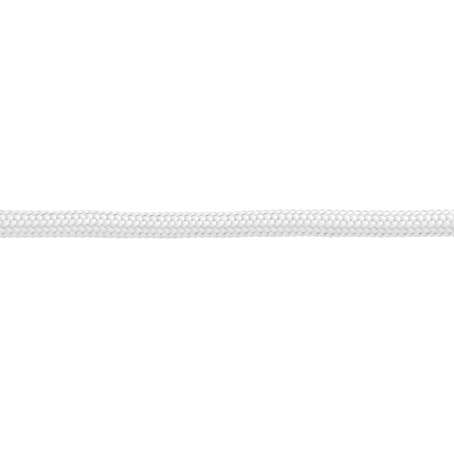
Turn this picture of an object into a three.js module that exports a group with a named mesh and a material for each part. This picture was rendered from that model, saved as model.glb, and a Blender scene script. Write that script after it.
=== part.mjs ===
// Cut length of braided cord
// A straight piece of white nylon cord with a braided cover, cut from a longer one and melted to a blunt tip
// at each end. It lies along X on its flattened underside, at z = 0, with Y across it. All sizes are
// millimetres.

import * as THREE from "three";
import { mergeVertices } from "three/addons/utils/BufferGeometryUtils.js";

// The cord
const cordLength = 80;
const cordHeight = 3.4; // it is 4 mm across when round, and settles a little where it lies
const middleHeight = 1.54; // of the widest part of the section above the surface that it lies on

// Its braid
const yarns = 24; // half of them wound to the right and half to the left
const courses = 150; // steps along the cord, two to each float
const gapDepth = 0.2; // between two floats of one wale, below the crest of a float
const grooveDepth = 0.15; // between two wales
const courseLength = cordLength / courses;

// Its melted tips
const tipCourses = 3; // that it takes to draw the cord in
const tipWidth = 0.55; // of the flat end, as a share of the cord's width

// How the cord lies, every 4 mm along it: how far its middle strays across, how wide it is there, how many
// degrees its braid is turned about its length, and how far its courses are pushed along
const rowSpacing = 4;
const laid = [
  { across: -0.03, width: 4.14, turn: 0.5, shift: 0.0 },
  { across: -0.03, width: 4.2, turn: 1.0, shift: 0.05 },
  { across: -0.02, width: 4.22, turn: 2.0, shift: 0.16 },
  { across: -0.05, width: 4.09, turn: 3.5, shift: 0.19 },
  { across: -0.03, width: 4.11, turn: 6.0, shift: 0.14 },
  { across: -0.01, width: 4.18, turn: 7.0, shift: 0.04 },
  { across: -0.16, width: 4.09, turn: 6.5, shift: -0.07 },
  { across: -0.21, width: 3.92, turn: 5.0, shift: -0.15 },
  { across: -0.2, width: 4.04, turn: 3.0, shift: -0.26 },
  { across: -0.13, width: 3.94, turn: 3.0, shift: -0.47 },
  { across: -0.14, width: 3.97, turn: 2.3, shift: -0.57 },
  { across: 0.02, width: 4.04, turn: 1.2, shift: -0.61 },
  { across: 0.09, width: 4.19, turn: 0.0, shift: -0.66 },
  { across: 0.13, width: 4.11, turn: -2.0, shift: -0.74 },
  { across: 0.07, width: 4.25, turn: -3.5, shift: -0.76 },
  { across: 0.05, width: 4.1, turn: -4.5, shift: -0.82 },
  { across: 0.0, width: 4.12, turn: -4.5, shift: -0.82 },
  { across: 0.03, width: 4.09, turn: -4.5, shift: -0.76 },
  { across: 0.12, width: 4.17, turn: -4.5, shift: -0.66 },
  { across: 0.11, width: 4.15, turn: -4.5, shift: -0.45 },
  { across: 0.07, width: 4.14, turn: -4.5, shift: 0.0 },
];

// A smooth curve through one column of the table
function laidAt(along, column) {
  const place = (along + cordLength / 2) / rowSpacing;
  const row = Math.min(Math.max(Math.floor(place), 0), laid.length - 2);
  const share = place - row;
  const here = laid[row][column];
  const next = laid[row + 1][column];
  const slopeHere = (next - laid[Math.max(row - 1, 0)][column]) / 2;
  const slopeNext = (laid[Math.min(row + 2, laid.length - 1)][column] - here) / 2;
  const rise = share * share * (3 - 2 * share);
  const leave = share * (1 - share) * (1 - share);
  const arrive = share * share * (share - 1);
  return here + (next - here) * rise + slopeHere * leave + slopeNext * arrive;
}

// Columns of points run along the cord: the even ones are the middles of the wales, and the odd ones are the
// grooves between them. A float crosses its wale in two courses, and stands up at every second course of it.
function depthAt(column, course) {
  if (column % 2) {
    return grooveDepth;
  }
  return (column / 2 + course) % 2 ? gapDepth : 0;
}

// The floats of every second wale climb as they go along, and those between them fall
function floatClimbs(wale) {
  return wale % 2 === 0;
}

// How far a melted tip is drawn in at one course, from 0 at its flat end to 1 where the whole cord begins
function tipFullness(course) {
  const fromEnd = Math.min(course, courses - course, tipCourses);
  return Math.sin((fromEnd / tipCourses) * (Math.PI / 2));
}

// The place of one course along the cord, crowded towards the end over a melted tip
function alongAt(course) {
  const side = course < courses / 2 ? -1 : 1;
  const fromEnd = Math.min(course, courses - course);
  const tipShare = 1 - Math.sqrt(1 - tipFullness(course) ** 2);
  const distance = fromEnd < tipCourses ? tipShare * tipCourses * courseLength : fromEnd * courseLength;
  return side * (cordLength / 2 - distance);
}

function pointAt(column, course) {
  const along = alongAt(course);
  const fullness = tipFullness(course);
  const size = THREE.MathUtils.lerp(tipWidth, 1, fullness);
  const depth = depthAt(column, course) * fullness;
  const angle = (column / yarns) * 2 * Math.PI + THREE.MathUtils.degToRad(laidAt(along, "turn"));
  const halfWidth = (laidAt(along, "width") / 2 - depth) * size;
  const halfHeight = (cordHeight - middleHeight - depth) * size;
  return new THREE.Vector3(
    along + laidAt(along, "shift"),
    laidAt(along, "across") + halfWidth * Math.sin(angle),
    Math.max(middleHeight + halfHeight * Math.cos(angle), 0),
  );
}

function endMiddleAt(course) {
  const along = alongAt(course);
  return new THREE.Vector3(along + laidAt(along, "shift"), laidAt(along, "across"), middleHeight);
}

// The blank is a closed cylinder along X. It has a ring of points at each course, and in a ring one point for
// each yarn.
const blankRadius = 1;

function makeBlank() {
  const blank = new THREE.CylinderGeometry(blankRadius, blankRadius, courses, yarns, courses);
  blank.rotateZ(-Math.PI / 2);
  blank.deleteAttribute("normal");
  blank.deleteAttribute("uv");
  return mergeVertices(blank);
}

// Each patch of the blank is folded from corner to corner. Where its float climbs, the fold is turned to run
// with it.
const cornersInPatch = 6; // of its two triangles

function turnFolds(geometry) {
  const corners = geometry.index.array;
  for (let patch = 0; patch < yarns; patch++) {
    const wale = Math.ceil((-patch - 1) / 2);
    for (let course = 0; course < courses && floatClimbs(wale); course++) {
      const first = cornersInPatch * (patch * courses + course);
      const [a, b, d, , c] = corners.slice(first, first + cornersInPatch);
      corners.set([a, b, c, a, c, d], first);
    }
  }
}

// Each point of the blank is moved to where the braid has it
function layBraid(geometry) {
  const points = geometry.attributes.position;
  const point = new THREE.Vector3();
  for (let i = 0; i < points.count; i++) {
    point.fromBufferAttribute(points, i);
    const course = Math.round(point.x + courses / 2);
    const turns = Math.atan2(point.y, point.z) / (2 * Math.PI);
    const column = (Math.round(turns * yarns) + yarns) % yarns;
    const inMiddle = Math.hypot(point.y, point.z) < blankRadius / 2;
    const place = inMiddle ? endMiddleAt(course) : pointAt(column, course);
    points.setXYZ(i, place.x, place.y, place.z);
  }
}

function makeCord() {
  const geometry = makeBlank();
  turnFolds(geometry);
  layBraid(geometry);
  geometry.computeVertexNormals();
  const nylon = new THREE.MeshStandardMaterial({ color: 0xeeefef, roughness: 0.55, metalness: 0 });
  const cord = new THREE.Mesh(geometry, nylon);
  cord.name = "braided_cord";
  return cord;
}

const group = new THREE.Group();
group.add(makeCord());

export default group;
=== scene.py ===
# A cut length of white braided cord, lying straight on a pale surface. Sizes are metres.

import math

import bmesh
import bpy
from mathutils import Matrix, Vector, noise


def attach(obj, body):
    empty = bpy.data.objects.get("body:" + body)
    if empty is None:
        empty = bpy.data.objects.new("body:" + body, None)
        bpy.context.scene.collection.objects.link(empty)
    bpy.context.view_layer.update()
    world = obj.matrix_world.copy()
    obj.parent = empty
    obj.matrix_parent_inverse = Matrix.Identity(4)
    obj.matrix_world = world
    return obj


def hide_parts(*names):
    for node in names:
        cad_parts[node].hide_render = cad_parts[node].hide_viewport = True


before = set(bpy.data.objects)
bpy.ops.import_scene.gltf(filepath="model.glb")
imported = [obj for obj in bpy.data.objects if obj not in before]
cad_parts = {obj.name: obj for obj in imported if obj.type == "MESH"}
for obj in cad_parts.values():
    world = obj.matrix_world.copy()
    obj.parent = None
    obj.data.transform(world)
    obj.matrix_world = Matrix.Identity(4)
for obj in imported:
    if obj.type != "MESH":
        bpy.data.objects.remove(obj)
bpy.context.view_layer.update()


# The cord's line
# A limp nylon cord, 4 mm across, was cut to 80 mm and laid out straight. It strays a little to each side,
# thins and swells, and its cover is turned slightly about its length. Its soft underside settles flat where
# it lies.

cord_length = 80e-3
cord_width = 4e-3
cord_height = 3.4e-3
middle_height = 1.54e-3  # of the widest part of its section
settled_height = 0.25e-3  # below which the yarns are pressed together

courses = 150  # steps of the braid along the cord, two to each float
columns = 24  # steps around it, two to each row of floats
course_length = cord_length / courses
column_angle = 2 * math.pi / columns

tip_courses = 3  # that it takes to draw the cord in
tip_width = 0.55  # of the flat end, as a share of the cord's width

# How the cord lies, every 4 mm along it: how far its middle strays across, how wide it is there, how many
# degrees its braid is turned about its length, and how far its courses are pushed along

row_spacing = 4e-3
laid = [
    {"across": -0.03e-3, "width": 4.14e-3, "turn": 0.5, "shift": 0.0},
    {"across": -0.03e-3, "width": 4.2e-3, "turn": 1.0, "shift": 0.05e-3},
    {"across": -0.02e-3, "width": 4.22e-3, "turn": 2.0, "shift": 0.16e-3},
    {"across": -0.05e-3, "width": 4.09e-3, "turn": 3.5, "shift": 0.19e-3},
    {"across": -0.03e-3, "width": 4.11e-3, "turn": 6.0, "shift": 0.14e-3},
    {"across": -0.01e-3, "width": 4.18e-3, "turn": 7.0, "shift": 0.04e-3},
    {"across": -0.16e-3, "width": 4.09e-3, "turn": 6.5, "shift": -0.07e-3},
    {"across": -0.21e-3, "width": 3.92e-3, "turn": 5.0, "shift": -0.15e-3},
    {"across": -0.2e-3, "width": 4.04e-3, "turn": 3.0, "shift": -0.26e-3},
    {"across": -0.13e-3, "width": 3.94e-3, "turn": 3.0, "shift": -0.47e-3},
    {"across": -0.14e-3, "width": 3.97e-3, "turn": 2.3, "shift": -0.57e-3},
    {"across": 0.02e-3, "width": 4.04e-3, "turn": 1.2, "shift": -0.61e-3},
    {"across": 0.09e-3, "width": 4.19e-3, "turn": 0.0, "shift": -0.66e-3},
    {"across": 0.13e-3, "width": 4.11e-3, "turn": -2.0, "shift": -0.74e-3},
    {"across": 0.07e-3, "width": 4.25e-3, "turn": -3.5, "shift": -0.76e-3},
    {"across": 0.05e-3, "width": 4.1e-3, "turn": -4.5, "shift": -0.82e-3},
    {"across": 0.0, "width": 4.12e-3, "turn": -4.5, "shift": -0.82e-3},
    {"across": 0.03e-3, "width": 4.09e-3, "turn": -4.5, "shift": -0.76e-3},
    {"across": 0.12e-3, "width": 4.17e-3, "turn": -4.5, "shift": -0.66e-3},
    {"across": 0.11e-3, "width": 4.15e-3, "turn": -4.5, "shift": -0.45e-3},
    {"across": 0.07e-3, "width": 4.14e-3, "turn": -4.5, "shift": 0.0},
]


def laid_at(along, column):
    """A smooth curve through one column of the table"""
    place = (along + cord_length / 2) / row_spacing
    row = min(max(math.floor(place), 0), len(laid) - 2)
    share = place - row
    here = laid[row][column]
    following = laid[row + 1][column]
    slope_here = (following - laid[max(row - 1, 0)][column]) / 2
    slope_following = (laid[min(row + 2, len(laid) - 1)][column] - here) / 2
    rise = share * share * (3 - 2 * share)
    leave = share * (1 - share) ** 2
    arrive = share * share * (share - 1)
    return here + (following - here) * rise + slope_here * leave + slope_following * arrive


def settle(height):
    """The lowest yarns are pressed together on the surface instead of reaching through it"""
    if height >= settled_height:
        return height
    lowest = middle_height - (cord_height - middle_height)
    pressed = math.exp((height - settled_height) / settled_height)
    most_pressed = math.exp((lowest - settled_height) / settled_height)
    return settled_height * max(pressed - most_pressed, 0) / (1 - most_pressed)


def cord_point(course, column, depth):
    """The place on the lying cord of a point this far below the crests of its braid"""
    from_end = min(course, courses - course)
    side = -1 if course < courses / 2 else 1
    fullness = 1
    distance = from_end * course_length
    if from_end < tip_courses:
        tip_angle = from_end / tip_courses * math.pi / 2
        fullness = math.sin(tip_angle)
        distance = (1 - math.cos(tip_angle)) * tip_courses * course_length
    along = side * (cord_length / 2 - distance)
    size = tip_width + (1 - tip_width) * fullness
    around = column * column_angle + math.radians(laid_at(along, "turn"))
    half_width = (laid_at(along, "width") / 2 - depth) * size
    half_height = (cord_height - middle_height - depth) * size
    return Vector((
        along + laid_at(along, "shift"),
        laid_at(along, "across") + half_width * math.sin(around),
        settle(middle_height + half_height * math.cos(around)),
    ))


# The braided cover
# It is 24 flat yarns of fine nylon filaments, half of them wound to the right and half to the left. Each yarn
# passes over two of those that cross it and then under two, where they pinch it narrower. This makes twelve
# rows of slanting floats.

yarn_width = 0.9e-3
yarn_thickness = 0.32e-3
yarn_wave = 0.27e-3  # up and down from its middle depth
wave_sharpness = 0.5  # more than this holds a yarn longer on top, and then longer below
wave_columns = 4  # that it crosses from one float to the next
pinch = 0.2  # the share of its width that it loses under the others
edge_sharpness = 1.6  # 1 gives it an oval section, and more than that thins its edges
buried_courses = 1.5  # from the cord's end to the yarn's end inside the melted tip
stations_per_wave = 16  # rings of points along it
yarn_sides = 12  # points in each ring
seam_gap = 1e-7  # points closer than this are one
crest_radius = cord_width / 2 - yarn_thickness / 2  # of a yarn's middle where it floats on top
column_length = crest_radius * column_angle
lay_angle = math.atan2(column_length, course_length)  # between a yarn and the cord's length

# No two yarns are quite alike: their depth and width follow a smooth noise, read far apart for each of them

depth_unevenness = 0.04e-3
width_unevenness = 0.12
noise_per_course = 0.45
noise_per_yarn = 7.3
noise_per_hand = 5.1
noise_to_width = 3.7


def wave_at(column):
    """1 where a climbing yarn floats on top, and -1 where it lies under two others"""
    swing = math.cos(2 * math.pi * column / wave_columns)
    return math.tanh(wave_sharpness * swing) / math.tanh(wave_sharpness)


def yarn_point(number, climbs, along_share, around_share):
    """A point on the skin of one yarn, which winds round the cord by one column at each course"""
    hand = 1 if climbs else -1
    course = buried_courses + along_share * (courses - 2 * buried_courses)
    column = hand * course + 2 * number + (0 if climbs else 1)
    wave = hand * wave_at(column)
    strand = Vector((course * noise_per_course, number * noise_per_yarn, hand * noise_per_hand))
    plump = 1 + width_unevenness * noise.noise(strand + Vector((0, noise_to_width, 0)))
    around = 2 * math.pi * around_share
    sideways = yarn_width / 2 * plump * (1 - pinch * (1 - wave) / 2) * math.cos(around)
    bulge = math.copysign(abs(math.sin(around)) ** edge_sharpness, math.sin(around))
    depth = yarn_wave * (1 - wave) + yarn_thickness / 2 * (1 - bulge) + depth_unevenness * noise.noise(strand)
    return cord_point(
        course - hand * sideways * math.sin(lay_angle) / course_length,
        column + sideways * math.cos(lay_angle) / column_length,
        depth,
    )


def add_yarn(bm, number, climbs):
    """Rolls a strip of faces into a closed yarn and lays it in the braid"""
    half = 0.5  # of the flat strip, which is one unit square
    strip = bmesh.ops.create_grid(
        bm,
        x_segments=round(courses / wave_columns * stations_per_wave),
        y_segments=yarn_sides,
        size=half,
        calc_uvs=True,
    )["verts"]
    faces = {face for vert in strip for face in vert.link_faces}
    uv_layer = bm.loops.layers.uv.active
    # Each yarn takes its own stretch of the filaments' pattern
    for face in faces:
        for loop in face.loops:
            loop[uv_layer].uv.y += number
    for vert in strip:
        vert.co = yarn_point(number, climbs, vert.co.x + half, vert.co.y + half)
    bmesh.ops.remove_doubles(bm, verts=strip, dist=seam_gap)
    rims = [edge for edge in bm.edges if edge.is_boundary]
    bmesh.ops.holes_fill(bm, edges=rims, sides=yarn_sides)


def finish_piece(name, bm, material):
    """Makes a smooth object of a mesh and lets it stand for the plain cord"""
    for face in bm.faces:
        face.smooth = True
    mesh = bpy.data.meshes.new(name)
    bm.to_mesh(mesh)
    bm.free()
    mesh.materials.append(material)
    piece = bpy.data.objects.new(name, mesh)
    bpy.context.scene.collection.objects.link(piece)
    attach(piece, "root")
    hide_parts("braided_cord")
    return piece


def make_yarns(name, climbs, material):
    """All the yarns that are wound the same way"""
    bm = bmesh.new()
    bm.loops.layers.uv.new("along_yarn")
    for number in range(columns // 2):
        add_yarn(bm, number, climbs)
    bmesh.ops.recalc_face_normals(bm, faces=bm.faces)
    return finish_piece(name, bm, material)


# White nylon isn't quite one white: it takes faint tints in soft patches a few millimetres across

tints = bpy.data.node_groups.new("faint_tints", "ShaderNodeTree")
tints.interface.new_socket("Place", in_out="INPUT", socket_type="NodeSocketVector")
tints.interface.new_socket("Colour", in_out="INPUT", socket_type="NodeSocketColor")
tints.interface.new_socket("Tint", in_out="INPUT", socket_type="NodeSocketFloat")
tints.interface.new_socket("Patches per Metre", in_out="INPUT", socket_type="NodeSocketFloat")
tints.interface.new_socket("Colour", in_out="OUTPUT", socket_type="NodeSocketColor")
tints_in = tints.nodes.new("NodeGroupInput")
tints_out = tints.nodes.new("NodeGroupOutput")
patches = tints.nodes.new("ShaderNodeTexNoise")
patches.inputs["Detail"].default_value = 1
tinting = tints.nodes.new("ShaderNodeMix")
tinting.data_type = "RGBA"
tinting.blend_type = "LINEAR_LIGHT"
tints.links.new(tints_in.outputs["Place"], patches.inputs["Vector"])
tints.links.new(tints_in.outputs["Patches per Metre"], patches.inputs["Scale"])
tints.links.new(tints_in.outputs["Tint"], tinting.inputs["Factor"])
tints.links.new(tints_in.outputs["Colour"], tinting.inputs["A"])
tints.links.new(patches.outputs["Color"], tinting.inputs["B"])
tints.links.new(tinting.outputs["Result"], tints_out.inputs["Colour"])


def add_tints(nodes, links, tint, patches_per_metre):
    """Puts the faint tints into one material, and returns the node whose colour they change"""
    place = nodes.new("ShaderNodeTexCoord")
    group = nodes.new("ShaderNodeGroup")
    group.node_tree = tints
    group.inputs["Tint"].default_value = tint
    group.inputs["Patches per Metre"].default_value = patches_per_metre
    links.new(place.outputs["Object"], group.inputs["Place"])
    links.new(group.outputs["Colour"], nodes["Principled BSDF"].inputs["Base Color"])
    return group


def add_skin(nodes, links, pattern, height, hollow_roughness, crest_roughness):
    """Lets a pattern raise a material's skin and set its gloss, and returns the node that sets the gloss"""
    shader = nodes["Principled BSDF"]
    relief = nodes.new("ShaderNodeBump")
    relief.inputs["Strength"].default_value = 1
    relief.inputs["Distance"].default_value = height
    gloss = nodes.new("ShaderNodeMapRange")
    gloss.inputs["To Min"].default_value = hollow_roughness
    gloss.inputs["To Max"].default_value = crest_roughness
    links.new(pattern.outputs["Fac"], relief.inputs["Height"])
    links.new(relief.outputs["Normal"], shader.inputs["Normal"])
    links.new(pattern.outputs["Fac"], gloss.inputs["Value"])
    links.new(gloss.outputs["Result"], shader.inputs["Roughness"])
    return gloss


# The filaments run along each yarn as fine streaks, and the light glints on the smoother ones.
# Their colour has painted shade between the streaks and painted light on them, following the streaks' relief

streaks_along_yarn = 28
streaks_around_yarn = 36
streak_detail = 3
streak_height = 0.02e-3
roughness_between_streaks = 0.3
roughness_on_streaks = 0.16
# The colour is painted darker between the streaks as shade and lighter on them as light
painted_shade_between_streaks = (0.8, 0.805, 0.8, 1)
painted_light_on_streaks = (0.88, 0.885, 0.88, 1)


def make_yarn_nylon():
    """Fine white filaments side by side, with painted shade between them and painted light on them"""
    nylon = bpy.data.materials.new("white_nylon_yarn")
    nylon.use_nodes = True
    nodes = nylon.node_tree.nodes
    links = nylon.node_tree.links
    yarn_uv = nodes.new("ShaderNodeUVMap")
    yarn_uv.uv_map = "along_yarn"
    stretch = nodes.new("ShaderNodeMapping")
    stretch.inputs["Scale"].default_value = (streaks_along_yarn, streaks_around_yarn, 1)
    streaks = nodes.new("ShaderNodeTexNoise")
    streaks.inputs["Scale"].default_value = 1
    streaks.inputs["Detail"].default_value = streak_detail
    gloss = add_skin(nodes, links, streaks, streak_height, roughness_between_streaks, roughness_on_streaks)
    gloss.inputs["From Min"].default_value = 0.3
    gloss.inputs["From Max"].default_value = 0.7
    # Painted shade in the hollows between the streaks and painted light on their crests
    shade = nodes.new("ShaderNodeValToRGB")
    shade.color_ramp.elements[0].position = 0.25
    shade.color_ramp.elements[0].color = painted_shade_between_streaks
    shade.color_ramp.elements[1].position = 0.75
    shade.color_ramp.elements[1].color = painted_light_on_streaks
    yarn_tints = add_tints(nodes, links, tint=0.02, patches_per_metre=350)
    links.new(yarn_uv.outputs["UV"], stretch.inputs["Vector"])
    links.new(stretch.outputs["Vector"], streaks.inputs["Vector"])
    links.new(streaks.outputs["Fac"], shade.inputs["Fac"])
    links.new(shade.outputs["Color"], yarn_tints.inputs["Colour"])
    return nylon


nylon = make_yarn_nylon()
climbing_yarns = make_yarns("climbing_yarns", True, nylon)
falling_yarns = make_yarns("falling_yarns", False, nylon)


# The melted tips
# Each cut end was held in a flame until the nylon ran together into a smooth blunt cap, which keeps the braid
# from coming undone. The last of the yarns sink into it, and a little of it shows between them.

melted_reach = 1.3e-3  # along the cord
melted_width = 0.93  # as a share of the cord's width
melted_lumps = 0.05  # how uneven it is, as a share of its width
lumps_across = 2.2
noise_per_tip = 4
tip_segments = 48
tip_rings = 28
ripples_per_metre = 1800
ripple_detail = 2
ripple_height = 0.015e-3
roughness_between_ripples = 0.32
roughness_on_ripples = 0.52
melted_white = (0.75, 0.735, 0.69, 1)


def make_melted_nylon():
    """Solid nylon, slightly yellowed by the flame, with a skin of soft ripples"""
    melted = bpy.data.materials.new("melted_nylon")
    melted.use_nodes = True
    nodes = melted.node_tree.nodes
    links = melted.node_tree.links
    tip_tints = add_tints(nodes, links, tint=0.03, patches_per_metre=900)
    tip_tints.inputs["Colour"].default_value = melted_white
    place = nodes.new("ShaderNodeTexCoord")
    ripples = nodes.new("ShaderNodeTexNoise")
    ripples.inputs["Scale"].default_value = ripples_per_metre
    ripples.inputs["Detail"].default_value = ripple_detail
    links.new(place.outputs["Object"], ripples.inputs["Vector"])
    add_skin(nodes, links, ripples, ripple_height, roughness_between_ripples, roughness_on_ripples)
    return melted


def make_melted_tip(name, side, material):
    """A ball, reshaped so that one pole is the flat end and the other is hidden in the cord"""
    bm = bmesh.new()
    ball = bmesh.ops.create_uvsphere(bm, u_segments=tip_segments, v_segments=tip_rings, radius=1)
    # The square roots make the ball's outline squarer, with a flatter end and straighter sides
    for vert in ball["verts"]:
        angle = math.atan2(vert.co.y, vert.co.x)
        inward = (1 - math.copysign(math.sqrt(abs(vert.co.z)), vert.co.z)) / 2
        fullness = math.sqrt(math.hypot(vert.co.x, vert.co.y)) * melted_width
        lump = noise.noise(vert.co * lumps_across + Vector((0, 0, noise_per_tip * side)))
        fullness *= 1 - melted_lumps * (1 + lump)
        along = side * (cord_length / 2 - melted_reach * inward)
        vert.co = Vector((
            along,
            laid_at(along, "across") + laid_at(along, "width") / 2 * fullness * math.sin(angle),
            settle(middle_height + (cord_height - middle_height) * fullness * math.cos(angle)),
        ))
    # The right tip comes out as a mirror image of the ball, with its faces pointing inwards
    if bm.calc_volume(signed=True) < 0:
        bmesh.ops.reverse_faces(bm, faces=bm.faces)
    return finish_piece(name, bm, material)


melted_nylon = make_melted_nylon()
melted_tip_left = make_melted_tip("melted_tip_left", -1, melted_nylon)
melted_tip_right = make_melted_tip("melted_tip_right", 1, melted_nylon)

# The yarns and the tips are one limp cord, which nothing holds


# The surface, the light and the camera
# The cord lies on a blank white surface in a white room. A small lamp stands low beyond its far side, to the
# right, and a wide one hangs over its near side. Both the surface and the room look whiter to the camera than
# they are to the cord. The camera looks straight down, and the cord runs a little above the picture's middle.

floor_width = 4
paper_white = (0.85, 0.85, 0.85, 1)
pure_white = (1, 1, 1, 1)
paper_roughness = 0.9
paper_glow = 0.4  # for the camera alone
room_light = 0.58  # on the cord
room_white = 1  # for the camera
picture_width = 66.8e-3
picture_middle = -0.458e-3  # how far it lies from the cord's line, across it


def look_whiter(tree, strength, to_cord, to_camera):
    """Makes the surface or the room shine more for the camera than it does for the cord"""
    seen = tree.nodes.new("ShaderNodeLightPath")
    glow = tree.nodes.new("ShaderNodeMapRange")
    glow.inputs["To Min"].default_value = to_cord
    glow.inputs["To Max"].default_value = to_camera
    tree.links.new(seen.outputs["Is Camera Ray"], glow.inputs["Value"])
    tree.links.new(glow.outputs["Result"], strength)


def lay_paper():
    """A wide sheet of blank white paper"""
    bpy.ops.mesh.primitive_plane_add(size=floor_width, location=(0, 0, 0))
    floor = bpy.context.object
    floor.name = "floor"
    paper = bpy.data.materials.new("white_paper")
    paper.use_nodes = True
    shader = paper.node_tree.nodes["Principled BSDF"]
    shader.inputs["Base Color"].default_value = paper_white
    shader.inputs["Roughness"].default_value = paper_roughness
    shader.inputs["Emission Color"].default_value = pure_white
    look_whiter(paper.node_tree, shader.inputs["Emission Strength"], 0, paper_glow)
    floor.data.materials.append(paper)


def light_room():
    """Soft white light from all round"""
    room = bpy.data.worlds.new("soft_room")
    room.use_nodes = True
    background = room.node_tree.nodes["Background"]
    background.inputs["Color"].default_value = pure_white
    look_whiter(room.node_tree, background.inputs["Strength"], room_light, room_white)
    bpy.context.scene.world = room


def hang_lamp(name, size, watts, place):
    """A square lamp that faces the cord's middle"""
    light = bpy.data.lights.new(name, "AREA")
    light.shape = "SQUARE"
    light.size = size
    light.energy = watts
    lamp = bpy.data.objects.new(name, light)
    lamp.location = place
    lamp.rotation_euler = (-lamp.location).to_track_quat("-Z", "Y").to_euler()
    bpy.context.scene.collection.objects.link(lamp)


def place_camera():
    """A long lens, straight above the cord's middle"""
    camera_data = bpy.data.cameras.new("camera")
    camera_data.lens = 100
    camera_data.clip_start = 0.01
    distance = picture_width * camera_data.lens / camera_data.sensor_width
    camera = bpy.data.objects.new("camera", camera_data)
    camera.location = (0, picture_middle, middle_height + distance)
    bpy.context.scene.collection.objects.link(camera)
    bpy.context.scene.camera = camera


lay_paper()
light_room()
hang_lamp("softbox", size=0.12, watts=1.7, place=(0.38, 0.4, 0.12))
hang_lamp("overhead", size=0.4, watts=1.05, place=(0, -0.25, 0.48))
place_camera()
bpy.context.scene.view_settings.view_transform = "Standard"
